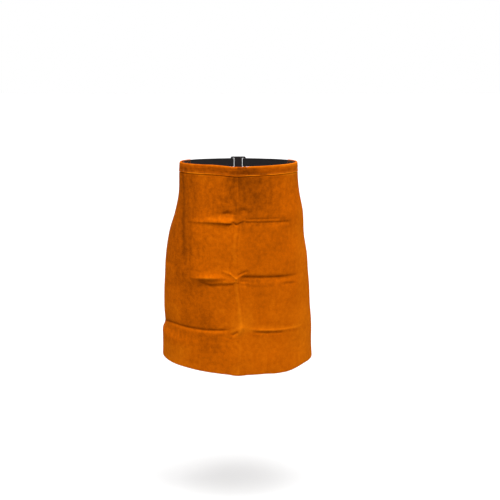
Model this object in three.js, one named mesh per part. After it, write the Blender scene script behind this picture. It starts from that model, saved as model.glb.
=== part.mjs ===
// A leather waist apron, worn: a split-cowhide panel hangs from a folded waistband, and a webbing
// strap carries the band round the back of the waist to a plain buckle.
// Millimetres, +Z up. The front faces -Y, and left is -X, the left side seen from the front.
// The origin is the middle of the waist, at half the waistband's height.
import * as THREE from "three";

// Driving sizes
const PANEL_WIDTH = 610; // flat, edge to edge
const PANEL_LENGTH = 602; // flat, from its top edge under the waistband to the lowest point of the hem
const LEATHER = 1.8;
const BAND_HEIGHT = 27;
const STRAP_WIDTH = 25;
const STRAP_THICK = 1.8;
const STRAP_OVERLAP = 55; // sewn on the inside of each end of the waistband
const STRAP_FOLD_BACK = 45; // end of each strap, turned round the buckle's bar and sewn down
const BUCKLE_LENGTH = 46;
const BUCKLE_HEIGHT = 36;
const BUCKLE_THICK = 4;
const BUCKLE_BAR = 6;
const SLOT_WIDTH = 5;
const SLOT_HEIGHT = 27;
const SLOT_CORNER = 1;
const BUCKLE_CORNER = 5;
const BUCKLE_BEVEL = 0.6;
const GAP = 0.3; // between pieces that touch

// Sizes that follow from them
const HALF_WIDTH = PANEL_WIDTH / 2;
const FOLD_INSIDE = LEATHER / 2 + GAP; // the waistband's inner faces, from the middle of the panel's wall
const FOLD_OUTSIDE = FOLD_INSIDE + LEATHER;
const BAND_EDGE = BAND_HEIGHT - FOLD_OUTSIDE; // drop of the waistband's lower edges
const PANEL_TOP = BAND_HEIGHT / 2 - FOLD_OUTSIDE; // z of the panel's top edge at the sides
const STRAP_INSET = FOLD_OUTSIDE + GAP + STRAP_THICK / 2;

// How far the worn leather stands out from the middle of the waist, by its drop below the top edge
const SECTIONS = [
  { drop: 0, left: 168.5, right: 173, front: 121 },
  { drop: 40, left: 171, right: 175, front: 123 },
  { drop: 75, left: 172.5, right: 179, front: 128 },
  { drop: 146, left: 185, right: 190.5, front: 137 },
  { drop: 219, left: 204, right: 196.5, front: 144 },
  { drop: 292, left: 214, right: 206, front: 149 },
  { drop: 320, left: 216.8, right: 208.2, front: 150.2 },
  { drop: 440, left: 221, right: 215.8, front: 155 },
  { drop: 488, left: 218, right: 218.7, front: 156.8 },
  { drop: 522, left: 226.2, right: 220.5, front: 158 },
  { drop: PANEL_LENGTH, left: 226.5, right: 222, front: 161 },
];
const WAIST_BACK = 112; // depth of the waist behind the middle
const FULLNESS = 2.25; // exponent of the sections' rounding: 2 is an ellipse, more is squarer

// The top edge dips at the front
const FRONT_DIP = { depth: 5.5, leftReach: 65, rightReach: 220 };
const MIDDLE_ROUNDING = 18; // rounds the dip off where its two sides meet

// The hem comes to a blunt point in the middle, and on each side of it is cut in smooth steps, up or down.
// "side" is -1 on the left, and a step "grows" by the distance from the middle.
const HEM_CUT = [
  { side: -1, rise: 1.8, grows: [0, 30] },
  { side: -1, rise: 8.4, grows: [50, 180] },
  { side: 1, rise: 2, grows: [0, 35] },
  { side: 1, rise: -2.8, grows: [75, 120] },
  { side: 1, rise: 10.5, grows: [140, 225] },
];

// Creases across the panel, left where it lay folded in four. A positive rise is a ridge, a negative one
// a valley, and folding in half first makes the two sides opposite. "drop" is where the crease runs, at
// CREASE_PLACES from the middle, and "above" and "below" are how far it spreads up and down. By the
// distance from the middle it "grows" from nothing and "fades" out again.
const CREASE_PLACES = [0, 100, 200, 300];
const CREASES = [
  {
    left: {
      drop: [157.5, 161, 163, 162], rise: 5.4, above: 8.5, below: 3.8, grows: [4, 32], fades: [20, 175],
    },
    right: {
      drop: [155, 160.5, 165.5, 170], rise: -1.8, above: 3, below: 6, grows: [10, 30], fades: [146, 166],
    },
  },
  {
    left: {
      drop: [317, 322, 328.5, 337], rise: 5.4, above: 7.5, below: 7.5, grows: [25, 70], fades: [85, 165],
    },
    right: {
      drop: [313, 319.5, 323, 313], rise: -4, above: 4.6, below: 10.5, grows: [0, 26], fades: [110, 210],
    },
  },
  {
    left: {
      drop: [460, 475, 472.5, 498], rise: -2.4, above: 3.2, below: 4.5, grows: [15, 50], fades: [265, 325],
    },
    right: {
      drop: [461, 473, 477.5, 470], rise: 1.7, above: 4.5, below: 4.2, grows: [15, 70], fades: [90, 210],
    },
  },
];
const HALVES_MEET = 28; // the left line of a crease goes over into the right one within this of the middle

// The upright crease down the middle wanders: where it is and how far it rises, by drop
const MIDDLE_CREASE = [
  { drop: 0, across: 0, rise: 0 },
  { drop: 150, across: 1, rise: 0 },
  { drop: 172, across: -2, rise: 0.8 },
  { drop: 232, across: -8, rise: 0.8 },
  { drop: 317, across: -5, rise: 0.8 },
  { drop: 455, across: 9, rise: 1 },
  { drop: PANEL_LENGTH, across: 0, rise: 0 },
];
const MIDDLE_SPREAD = 5;

// Short dents and ridges, each along a line on the flat panel. "across" and "drop" hold the line's two ends,
// and "above" and "below" are how far it spreads.
const PUCKERS = [
  { name: "tip of the left wing", across: [-42, -20], drop: [299, 305], rise: 0.9, above: 2.4, below: 2.4 },
  { name: "left wing of the middle", across: [-20, -3], drop: [305, 317], rise: 1.2, above: 2.4, below: 2.4 },
  { name: "right wing of the middle", across: [21, -3], drop: [302, 317], rise: 0.7, above: 2.4, below: 2.4 },
  { name: "dent over upper fold", across: [-40, -30], drop: [134, 130.5], rise: -2.6, above: 4, below: 9 },
  { name: "end of that dent", across: [-30, -16], drop: [130.5, 129.5], rise: -2.6, above: 4, below: 9 },
  { name: "arch over it, first half", across: [4, 18], drop: [122, 119], rise: -0.9, above: 3.5, below: 8 },
  { name: "arch over it, second half", across: [18, 38], drop: [119, 130], rise: -1.6, above: 3.5, below: 8 },
  { name: "second line over it", across: [25, 122], drop: [147, 150], rise: -0.9, above: 2, below: 2 },
  { name: "second middle fold", across: [-80, -14], drop: [337, 328], rise: 2, above: 12, below: 3.6 },
  { name: "groove between them", across: [-98, -70], drop: [334, 334], rise: -1, above: 5, below: 5 },
  { name: "slit under the lower fold", across: [-14, 0], drop: [482, 474], rise: -1.6, above: 3, below: 3 },
  { name: "knuckle of the lower fold", across: [12, 4], drop: [462, 472], rise: 2.2, above: 8, below: 8 },
  { name: "groove under it", across: [55, 85], drop: [476, 480], rise: -0.9, above: 3, below: 3 },
  { name: "end of that groove", across: [85, 130], drop: [480, 484], rise: -1, above: 3, below: 3 },
  { name: "hollow of left flank", across: [-186, -160], drop: [20, 290], rise: -2.6, above: 10, below: 10 },
  { name: "hollow beside the middle", across: [38, 40], drop: [-10, 100], rise: -4, above: 30, below: 30 },
];

// Faces of the panel: more columns near the middle crease, and rows that follow the cross creases
const COLUMNS_A_SIDE = 21;
const COLUMN_CROWDING = 1.35;
const ROWS_AT_CREASE = [-22, -13, -8, -5, -2.5, 0, 2.5, 5, 8, 13, 22];
const ROW_STEP = 32;
const STRAP_STEP = 9;
const BEND_STEPS = 6;

const clamp01 = (t) => Math.min(1, Math.max(0, t));
const smooth = (from, to, v) => {
  const t = clamp01((v - from) / (to - from));
  return t * t * (3 - 2 * t);
};
const easeOut = (t) => Math.sin((Math.PI / 2) * clamp01(t));

// A smooth curve through a table's rows that never overshoots them (monotone cubic, by its slopes).
function throughRows(rows, key, at) {
  const slope = (i) => (rows[i + 1][key] - rows[i][key]) / (rows[i + 1].drop - rows[i].drop);
  const tangent = (i) => {
    if (i === 0) return slope(0);
    if (i === rows.length - 1) return slope(i - 1);
    const before = slope(i - 1);
    const after = slope(i);
    return before * after > 0 ? (2 * before * after) / (before + after) : 0;
  };
  let i = 0;
  while (i < rows.length - 2 && at > rows[i + 1].drop) i += 1;
  const run = rows[i + 1].drop - rows[i].drop;
  const t = clamp01((at - rows[i].drop) / run);
  const s = 1 - t;
  return (
    (1 + 2 * t) * s * s * rows[i][key] +
    t * s * s * run * tangent(i) +
    t * t * (3 - 2 * t) * rows[i + 1][key] -
    t * t * s * run * tangent(i + 1)
  );
}

// The worn section at one drop, seen from above: a rounded oblong through its left, right and front
// depths and the back of the waist. It gives the point at a length along the leather from the middle.
function sectionAt(drop) {
  const front = throughRows(SECTIONS, "front", drop);
  const samples = 120;
  const half = (side) => {
    const width = throughRows(SECTIONS, side, drop);
    const points = [];
    let length = 0;
    for (let i = 0; i <= samples; i += 1) {
      const turn = (Math.PI * i) / samples;
      const depth = Math.cos(turn) > 0 ? -front : WAIST_BACK;
      const x = width * Math.sin(turn) ** (2 / FULLNESS);
      const y = depth * Math.abs(Math.cos(turn)) ** (2 / FULLNESS);
      if (i) length += Math.hypot(x - points[i - 1].x, y - points[i - 1].y);
      points.push({ x, y, length });
    }
    return points;
  };
  const halves = { left: half("left"), right: half("right") };
  const at = (across) => {
    const points = across < 0 ? halves.left : halves.right;
    const along = Math.abs(across);
    let i = 0;
    while (i < points.length - 2 && along > points[i + 1].length) i += 1;
    const t = clamp01((along - points[i].length) / (points[i + 1].length - points[i].length));
    const x = THREE.MathUtils.lerp(points[i].x, points[i + 1].x, t);
    return new THREE.Vector2(across < 0 ? -x : x, THREE.MathUtils.lerp(points[i].y, points[i + 1].y, t));
  };
  const outward = (across) => {
    const nearby = 2;
    const along = at(across + nearby).sub(at(across - nearby)).normalize();
    return new THREE.Vector2(along.y, -along.x);
  };
  const halfLength = (side) => (side < 0 ? halves.left : halves.right).at(-1).length;
  return { at, outward, halfLength };
}

// Drop of one side of a crease: the cubic through its four drops, by Lagrange's formula.
function sideLine({ drop }, across) {
  const off = Math.abs(across);
  const term = (place, i) => {
    const others = CREASE_PLACES.filter((other) => other !== place);
    return others.reduce((product, other) => (product * (off - other)) / (place - other), drop[i]);
  };
  return CREASE_PLACES.map(term).reduce((sum, part) => sum + part);
}

// Drop of a whole crease: from the left side's line smoothly over into the right side's.
function creaseLine({ left, right }, across) {
  const share = smooth(-HALVES_MEET, HALVES_MEET, across);
  return THREE.MathUtils.lerp(sideLine(left, across), sideLine(right, across), share);
}

// Distance from the middle, rounded off at 0 as a hyperbola is
const fromMiddle = (across) => Math.hypot(across, MIDDLE_ROUNDING) - MIDDLE_ROUNDING;

// Where the hem is cut, by the place across the panel
const hemDrop = (across) => {
  const steps = HEM_CUT.map(({ side, rise, grows }) => rise * smooth(...grows, side * across));
  return steps.reduce((drop, step) => drop - step, PANEL_LENGTH);
};

// A ridge's cross-section, as a fold leaves it in thick leather: 1 on its line, with long flanks that
// fall to a half over one spread above it and another below it.
const ridge = (distance, above, below) =>
  1 / Math.cosh((Math.acosh(2) * distance) / (distance < 0 ? above : below));

function creaseRise({ left, right }, across, drop) {
  const sideRise = (side, off) => {
    const share = smooth(...side.grows, off) * (1 - smooth(...side.fades, off));
    return share * side.rise * ridge(drop - sideLine(side, across), side.above, side.below);
  };
  return sideRise(left, -across) + sideRise(right, across);
}

// A short dent or ridge: the same cross-section, by the distance to its line above it or below it.
function puckerRise(pucker, across, drop) {
  const lineEnd = (i) => new THREE.Vector3(pucker.across[i], pucker.drop[i], 0);
  const line = new THREE.Line3(lineEnd(0), lineEnd(1));
  const here = new THREE.Vector3(across, drop, 0);
  const nearest = line.closestPointToPoint(here, true, new THREE.Vector3());
  const distance = here.distanceTo(nearest);
  return pucker.rise * ridge(drop < nearest.y ? -distance : distance, pucker.above, pucker.below);
}

// How far the creases and puckers push the leather out from its smooth worn shape.
function relief(across, drop) {
  const offMiddle = across - throughRows(MIDDLE_CREASE, "across", drop);
  let rise = throughRows(MIDDLE_CREASE, "rise", drop) * ridge(offMiddle, MIDDLE_SPREAD, MIDDLE_SPREAD);
  for (const crease of CREASES) rise += creaseRise(crease, across, drop);
  for (const pucker of PUCKERS) rise += puckerRise(pucker, across, drop);
  return rise;
}

// One fall line of the leather, down from the top edge. The leather doesn't stretch, so where it
// spreads outwards it falls by less than its length.
function fallLine(across) {
  const step = 5;
  const reach = across < 0 ? FRONT_DIP.leftReach : FRONT_DIP.rightReach;
  const top = PANEL_TOP - FRONT_DIP.depth * (1 - easeOut(fromMiddle(across) / reach));
  const stations = [];
  for (let drop = 0; drop <= PANEL_LENGTH + step; drop += step) {
    const section = sectionAt(drop);
    const place = section.at(across);
    const last = stations.at(-1);
    const spread = last ? place.distanceTo(last.place) : 0;
    const z = last ? last.z - Math.sqrt(Math.max(step * step - spread * spread, 0)) : top;
    stations.push({ place, outward: section.outward(across), z });
  }
  return (drop, offset) => {
    const i = Math.min(Math.floor(Math.max(drop, 0) / step), stations.length - 2);
    const t = Math.max(drop, 0) / step - i;
    const place = stations[i].place.clone().lerp(stations[i + 1].place, t);
    const outward = stations[i].outward.clone().lerp(stations[i + 1].outward, t).normalize();
    place.addScaledVector(outward, offset + relief(across, drop));
    const z = THREE.MathUtils.lerp(stations[i].z, stations[i + 1].z, t) - Math.min(drop, 0);
    return new THREE.Vector3(place.x, place.y, z);
  };
}

// A closed leather wall between two faces. Each face is a list of { drop, offset } points for a
// place across the panel, and both lists have the same length.
function leatherWall(acrossLines, outerFace, innerFace) {
  const positions = [];
  for (const across of acrossLines) {
    const point = fallLine(across);
    for (const { drop, offset } of outerFace(across)) positions.push(...point(drop, offset));
    for (const { drop, offset } of innerFace(across)) positions.push(...point(drop, offset));
  }
  const rows = outerFace(0).length;
  const columns = acrossLines.length;
  const outer = (column, row) => column * 2 * rows + row;
  const inner = (column, row) => outer(column, row) + rows;
  const index = [];
  const quad = (a, b, c, d) => index.push(a, b, c, a, c, d);
  for (let c = 0; c < columns - 1; c += 1) {
    for (let r = 0; r < rows - 1; r += 1) {
      quad(outer(c, r), outer(c, r + 1), outer(c + 1, r + 1), outer(c + 1, r));
      quad(inner(c, r), inner(c + 1, r), inner(c + 1, r + 1), inner(c, r + 1));
    }
    quad(outer(c, 0), outer(c + 1, 0), inner(c + 1, 0), inner(c, 0));
    quad(outer(c, rows - 1), inner(c, rows - 1), inner(c + 1, rows - 1), outer(c + 1, rows - 1));
  }
  const last = columns - 1;
  for (let r = 0; r < rows - 1; r += 1) {
    quad(outer(0, r), inner(0, r), inner(0, r + 1), outer(0, r + 1));
    quad(outer(last, r), outer(last, r + 1), inner(last, r + 1), inner(last, r));
  }
  const geometry = new THREE.BufferGeometry();
  geometry.setAttribute("position", new THREE.Float32BufferAttribute(positions, 3));
  geometry.setIndex(index);
  geometry.computeVertexNormals();
  return geometry;
}

// Places across the panel where its columns of faces stand.
function columnLines() {
  const lines = [];
  for (let i = -COLUMNS_A_SIDE; i <= COLUMNS_A_SIDE; i += 1) {
    const share = Math.abs(i) / COLUMNS_A_SIDE;
    lines.push(Math.sign(i) * HALF_WIDTH * share ** COLUMN_CROWDING);
  }
  return lines;
}

// Drops of the panel's rows of faces at one place across: close together at each crease, and evenly
// spread between one crease and the next.
function rowDrops(across) {
  const drops = [0, BAND_EDGE / 2, BAND_EDGE];
  const spreadTo = (drop, count) => {
    const from = drops.at(-1);
    for (let i = 1; i <= count; i += 1) drops.push(THREE.MathUtils.lerp(from, drop, i / count));
  };
  let from = BAND_EDGE;
  for (const crease of CREASES) {
    const middle = creaseLine(crease, 0);
    const line = creaseLine(crease, across);
    spreadTo(line + ROWS_AT_CREASE[0], Math.round((middle - from) / ROW_STEP) - 1);
    for (const row of ROWS_AT_CREASE.slice(1)) drops.push(line + row);
    from = middle + ROWS_AT_CREASE.at(-1);
  }
  spreadTo(hemDrop(across), Math.round((PANEL_LENGTH - from) / ROW_STEP));
  return drops;
}

function panelGeometry() {
  const face = (offset) => (across) => rowDrops(across).map((drop) => ({ drop, offset }));
  return leatherWall(columnLines(), face(LEATHER / 2), face(-LEATHER / 2));
}

// The waistband: a strip folded over the panel's top edge, so that its section is a narrow arch.
function waistbandGeometry() {
  const face = (offset) => () => {
    const points = [BAND_EDGE, BAND_EDGE / 2, 0].map((drop) => ({ drop, offset }));
    for (let i = 1; i < BEND_STEPS; i += 1) {
      const turn = (Math.PI * i) / BEND_STEPS;
      points.push({ drop: -offset * Math.sin(turn), offset: offset * Math.cos(turn) });
    }
    return points.concat([0, BAND_EDGE / 2, BAND_EDGE].map((drop) => ({ drop, offset: -offset })));
  };
  return leatherWall(columnLines(), face(FOLD_INSIDE), face(FOLD_OUTSIDE));
}

// A thin strip's outline seen from above: its middle line, moved out to both faces.
function stripOutline(middle, thickness) {
  const edge = (side) =>
    middle.map((point, i) => {
      const before = middle[Math.max(i - 1, 0)];
      const after = middle[Math.min(i + 1, middle.length - 1)];
      const along = after.clone().sub(before).normalize();
      return new THREE.Vector2(point.x - side * along.y, point.y + side * along.x);
    });
  return new THREE.Shape(edge(-thickness / 2).concat(edge(thickness / 2).reverse()));
}

// The buckle stands at the back of the waist, its bars just outside the straps' run.
const barInside = BUCKLE_LENGTH / 2 - BUCKLE_BAR;
const barClear = BUCKLE_THICK / 2 + GAP + STRAP_THICK / 2; // from the bar's middle to the strap's
const waist = sectionAt(0);
const strapAt = (across) => waist.at(across).addScaledVector(waist.outward(across), -STRAP_INSET);
const buckleDepth = strapAt(waist.halfLength(1) - BUCKLE_LENGTH / 2).y + barClear;

// The middle line of one strap: along the inside of the waistband, round the back to the buckle,
// through its slot, round the bar, and back along itself.
function strapLine(side) {
  const barEdge = waist.halfLength(side) - BUCKLE_LENGTH / 2;
  const start = HALF_WIDTH - STRAP_OVERLAP;
  const sewn = [start, ...columnLines().filter((across) => across > start)];
  const steps = Math.round((barEdge - HALF_WIDTH) / STRAP_STEP);
  const run = sewn.map((across) => strapAt(side * across));
  for (let i = 1; i <= steps; i += 1) {
    run.push(strapAt(side * THREE.MathUtils.lerp(HALF_WIDTH, barEdge, i / steps)));
  }
  const bend = [];
  for (let i = 0; i <= BEND_STEPS; i += 1) {
    const turn = (Math.PI * i) / BEND_STEPS;
    bend.push(
      new THREE.Vector2(
        side * (barInside - barClear * Math.sin(turn)),
        buckleDepth - barClear * Math.cos(turn),
      ),
    );
  }
  const back = [];
  const backSteps = Math.round(STRAP_FOLD_BACK / STRAP_STEP);
  for (let i = 0; i <= backSteps; i += 1) {
    const along = (STRAP_FOLD_BACK * i) / backSteps;
    const settle = smooth(0, STRAP_FOLD_BACK / 2, along);
    const clear = THREE.MathUtils.lerp(2 * barClear, STRAP_THICK + 2 * GAP, settle);
    const across = side * (barEdge - along);
    back.push(strapAt(across).addScaledVector(waist.outward(across), clear));
  }
  return run.concat(bend, back);
}

function strapGeometry(side) {
  const outline = stripOutline(strapLine(side), STRAP_THICK);
  return new THREE.ExtrudeGeometry(outline, { depth: STRAP_WIDTH, bevelEnabled: false });
}

// A rounded oblong about a centre, as an outline or as a hole.
function roundedOblong(path, centreX, width, height, radius) {
  const x = centreX - width / 2;
  const y = -height / 2;
  path.moveTo(x + radius, y);
  path.lineTo(x + width - radius, y);
  path.absarc(x + width - radius, y + radius, radius, -Math.PI / 2, 0);
  path.lineTo(x + width, y + height - radius);
  path.absarc(x + width - radius, y + height - radius, radius, 0, Math.PI / 2);
  path.lineTo(x + radius, y + height);
  path.absarc(x + radius, y + height - radius, radius, Math.PI / 2, Math.PI);
  path.lineTo(x, y + radius);
  path.absarc(x + radius, y + radius, radius, Math.PI, (3 * Math.PI) / 2);
  return path;
}

function buckleGeometry() {
  const plate = roundedOblong(new THREE.Shape(), 0, BUCKLE_LENGTH, BUCKLE_HEIGHT, BUCKLE_CORNER);
  for (const side of [-1, 1]) {
    const slotCentre = side * (barInside - SLOT_WIDTH / 2);
    plate.holes.push(roundedOblong(new THREE.Path(), slotCentre, SLOT_WIDTH, SLOT_HEIGHT, SLOT_CORNER));
  }
  return new THREE.ExtrudeGeometry(plate, {
    depth: BUCKLE_THICK - 2 * BUCKLE_BEVEL,
    bevelThickness: BUCKLE_BEVEL,
    bevelSize: BUCKLE_BEVEL,
    bevelOffset: -BUCKLE_BEVEL,
    bevelSegments: 1,
    curveSegments: 4,
  });
}

const apron = new THREE.Group();

function addPiece(name, geometry, material) {
  const mesh = new THREE.Mesh(geometry, material);
  mesh.name = name;
  apron.add(mesh);
  return mesh;
}

const splitLeather = new THREE.MeshStandardMaterial({ color: 0xbd5800, roughness: 0.9, metalness: 0 });
const bandLeather = new THREE.MeshStandardMaterial({ color: 0xb55200, roughness: 0.9, metalness: 0 });
const webbing = new THREE.MeshStandardMaterial({ color: 0x1c1c1e, roughness: 0.8, metalness: 0 });
const buckleResin = new THREE.MeshStandardMaterial({ color: 0x141416, roughness: 0.45, metalness: 0 });

addPiece("apron_panel", panelGeometry(), splitLeather);
addPiece("waistband", waistbandGeometry(), bandLeather);
addPiece("waist_strap_left", strapGeometry(-1), webbing).position.z = -STRAP_WIDTH / 2;
addPiece("waist_strap_right", strapGeometry(1), webbing).position.z = -STRAP_WIDTH / 2;
const buckle = addPiece("buckle", buckleGeometry(), buckleResin);
buckle.rotation.x = Math.PI / 2;
buckle.position.y = buckleDepth + BUCKLE_THICK / 2 - BUCKLE_BEVEL;

export default apron;
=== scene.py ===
"""The looks of a worn leather waist apron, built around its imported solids.

Metres, +Z up. The front faces -Y, and left is -X, the left side seen from the front. The leather is worked
out from its flat sheet: "across" runs from the middle of the panel, left negative, and "drop" runs down from
the panel's top edge. "offset" is how far a point stands out from the middle of the leather's wall.
"""

import math

import bpy
import numpy as np
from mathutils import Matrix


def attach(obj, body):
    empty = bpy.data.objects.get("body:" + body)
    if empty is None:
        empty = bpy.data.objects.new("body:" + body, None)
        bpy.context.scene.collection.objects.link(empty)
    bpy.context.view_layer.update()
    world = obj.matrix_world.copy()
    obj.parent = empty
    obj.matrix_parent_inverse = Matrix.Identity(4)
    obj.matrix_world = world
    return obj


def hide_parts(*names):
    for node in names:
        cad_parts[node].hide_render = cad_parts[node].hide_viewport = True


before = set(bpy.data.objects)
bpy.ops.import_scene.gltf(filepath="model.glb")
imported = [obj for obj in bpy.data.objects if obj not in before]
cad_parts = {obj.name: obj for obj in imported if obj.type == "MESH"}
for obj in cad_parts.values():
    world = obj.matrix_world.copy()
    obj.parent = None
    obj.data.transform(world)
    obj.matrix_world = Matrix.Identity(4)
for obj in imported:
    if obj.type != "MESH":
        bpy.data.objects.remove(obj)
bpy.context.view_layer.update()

# Sizes of the pieces, as the solids have them
PANEL_WIDTH = 0.610
PANEL_LENGTH = 0.602
LEATHER = 0.0018
BAND_HEIGHT = 0.027
STRAP_WIDTH = 0.025
STRAP_THICK = 0.0018
STRAP_OVERLAP = 0.055
STRAP_FOLD_BACK = 0.045
BUCKLE_LENGTH = 0.046
BUCKLE_THICK = 0.004
BUCKLE_BAR = 0.006
GAP = 0.0003

HALF_WIDTH = PANEL_WIDTH / 2
HALF_WALL = LEATHER / 2
FOLD_INSIDE = HALF_WALL + GAP
FOLD_OUTSIDE = FOLD_INSIDE + LEATHER
BAND_EDGE = BAND_HEIGHT - FOLD_OUTSIDE
PANEL_TOP = BAND_HEIGHT / 2 - FOLD_OUTSIDE
STRAP_INSET = FOLD_OUTSIDE + GAP + STRAP_THICK / 2
BAR_CLEAR = BUCKLE_THICK / 2 + GAP + STRAP_THICK / 2  # from the middle of the buckle's bar to the strap's

# How far the worn leather stands out from the middle of the waist, by its drop below the top edge
SECTIONS = {
    "drop": (0, 0.04, 0.075, 0.146, 0.219, 0.292, 0.32, 0.44, 0.488, 0.522, PANEL_LENGTH),
    "left": (0.1685, 0.171, 0.1725, 0.185, 0.204, 0.214, 0.2168, 0.221, 0.218, 0.2262, 0.2265),
    "right": (0.173, 0.175, 0.179, 0.1905, 0.1965, 0.206, 0.2082, 0.2158, 0.2187, 0.2205, 0.222),
    "front": (0.121, 0.123, 0.128, 0.137, 0.144, 0.149, 0.1502, 0.155, 0.1568, 0.158, 0.161),
}
WAIST_BACK = 0.112
FULLNESS = 2.25
STATION = 0.002  # step between the sections that are worked out
SECTION_SAMPLES = 481  # points along each half of a section
SIDES = (("left", -1), ("right", 1))  # with the sign of their places across

# The top edge dips at the front
FRONT_DIP = {"depth": 0.0055, "left_reach": 0.065, "right_reach": 0.22}
MIDDLE_ROUNDING = 0.018

# The hem comes to a blunt point in the middle, and on each side of it is cut in smooth steps, up or down
HEM_CUT = (
    # side, -1 on the left; rise; distance from the middle where it starts and ends
    (-1, 0.0018, 0, 0.03),
    (-1, 0.0084, 0.05, 0.18),
    (1, 0.002, 0, 0.035),
    (1, -0.0028, 0.075, 0.12),
    (1, 0.0105, 0.14, 0.225),
)

# Storage creases across the panel, with the left and the right half opposite: a positive rise is a ridge, a
# negative one a valley. "drop" is at CREASE_PLACES from the middle, and "above" and "below" are how far the
# crease spreads up and down. By the distance from the middle it "grows" from nothing and "fades" out again.
CREASE_PLACES = (0, 0.1, 0.2, 0.3)
CREASES = (
    {
        "left": {"drop": (0.1575, 0.161, 0.163, 0.162), "rise": 0.0054, "above": 0.0085, "below": 0.0038,
                 "grows": (0.004, 0.032), "fades": (0.02, 0.175)},
        "right": {"drop": (0.155, 0.1605, 0.1655, 0.17), "rise": -0.0018, "above": 0.003, "below": 0.006,
                  "grows": (0.01, 0.03), "fades": (0.146, 0.166)},
    },
    {
        "left": {"drop": (0.317, 0.322, 0.3285, 0.337), "rise": 0.0054, "above": 0.0075, "below": 0.0075,
                 "grows": (0.025, 0.07), "fades": (0.085, 0.165)},
        "right": {"drop": (0.313, 0.3195, 0.323, 0.313), "rise": -0.004, "above": 0.0046, "below": 0.0105,
                  "grows": (0, 0.026), "fades": (0.11, 0.21)},
    },
    {
        "left": {"drop": (0.46, 0.475, 0.4725, 0.498), "rise": -0.0024, "above": 0.0032, "below": 0.0045,
                 "grows": (0.015, 0.05), "fades": (0.265, 0.325)},
        "right": {"drop": (0.461, 0.473, 0.4775, 0.47), "rise": 0.0017, "above": 0.0045, "below": 0.0042,
                  "grows": (0.015, 0.07), "fades": (0.09, 0.21)},
    },
)
HALVES_MEET = 0.028  # the left line of a crease goes over into the right one within this of the middle
MIDDLE_CREASE = {
    "drop": (0, 0.15, 0.172, 0.232, 0.317, 0.455, PANEL_LENGTH),
    "across": (0, 0.001, -0.002, -0.008, -0.005, 0.009, 0),
    "rise": (0, 0, 0.0008, 0.0008, 0.0008, 0.001, 0),
}
MIDDLE_SPREAD = 0.005

# Short dents and ridges along lines on the flat panel, from one end to the other
PUCKERS = (
    # across from, to; drop from, to; rise; spread, or spread above and below
    # Dents and an arch over the upper crease, and a second line over it
    (-0.04, -0.03, 0.134, 0.1305, -0.0026, 0.004, 0.009),
    (-0.03, -0.016, 0.1305, 0.1295, -0.0026, 0.004, 0.009),
    (0.004, 0.018, 0.122, 0.119, -0.0009, 0.0035, 0.008),
    (0.018, 0.038, 0.119, 0.13, -0.0016, 0.0035, 0.008),
    (0.025, 0.122, 0.147, 0.15, -0.0009, 0.002),
    # Wings where the middle crease crosses the upright one, and its second fold
    (-0.042, -0.02, 0.299, 0.305, 0.0009, 0.0024),
    (-0.02, -0.003, 0.305, 0.317, 0.0012, 0.0024),
    (0.021, -0.003, 0.302, 0.317, 0.0007, 0.0024),
    (-0.08, -0.014, 0.337, 0.328, 0.002, 0.012, 0.0036),
    (-0.098, -0.07, 0.334, 0.334, -0.001, 0.005),
    # Slit and knuckle where the lower crease crosses it, and a groove below
    (-0.014, 0, 0.482, 0.474, -0.0016, 0.003),
    (0.012, 0.004, 0.462, 0.472, 0.0022, 0.008),
    (0.055, 0.085, 0.476, 0.48, -0.0009, 0.003),
    (0.085, 0.13, 0.48, 0.484, -0.001, 0.003),
    # Hollows of the left flank and beside the middle
    (-0.186, -0.16, 0.02, 0.29, -0.0026, 0.01),
    (0.038, 0.04, -0.01, 0.1, -0.004, 0.03),
)

# Faint wrinkles, in the same columns
WRINKLES = (
    # A zigzag on the upper crossing, and short ones above it
    (-0.02, -0.012, 0.163, 0.157, -0.001, 0.002),
    (-0.012, -0.003, 0.157, 0.163, -0.001, 0.002),
    (-0.003, 0.006, 0.163, 0.158, -0.001, 0.002),
    (0.006, 0.022, 0.158, 0.152, -0.001, 0.002),
    (-0.005, -0.004, 0.146, 0.15, -0.001, 0.0025),
    (0.005, 0.006, 0.131, 0.136, -0.001, 0.003),
    # Between the upper and the middle crease
    (0.085, 0.055, 0.18, 0.208, -0.0007, 0.003),
    (0.075, 0.065, 0.208, 0.248, -0.0006, 0.003),
    (0.057, 0.047, 0.213, 0.238, -0.0005, 0.0025),
    (-0.08, -0.065, 0.193, 0.208, -0.0006, 0.0025),
    # Along the middle crease
    (-0.103, -0.08, 0.338, 0.343, -0.001, 0.0025),
    (-0.08, -0.014, 0.347, 0.3355, -0.0008, 0.0024),
    (0.004, 0.026, 0.306, 0.296, -0.0014, 0.0022),
    (0.01, 0.028, 0.325, 0.325, -0.001, 0.002),
    (0.01, 0.06, 0.335, 0.342, -0.0006, 0.0022),
    (0.14, 0.172, 0.341, 0.344, -0.001, 0.0035),
    # Below the lower crease
    (0.082, 0.068, 0.483, 0.497, -0.0006, 0.0025),
    (-0.042, -0.016, 0.49, 0.494, -0.0006, 0.0025),
    (0.113, 0.095, 0.52, 0.541, -0.0006, 0.0025),
)

# The panel swells out again below the waistband's seam
SEAM_SWELL = {"drop": 0.0285, "rise": 0.0016, "above": 0.002, "below": 0.03}

# Slow waves that the hide keeps from its tanning: wavelengths, height and the seed of their directions
WAVE_LENGTHS = (0.083, 0.11, 0.15, 0.2, 0.26)
WAVE_HEIGHT = 0.0003
WAVE_SEED = 7

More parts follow.
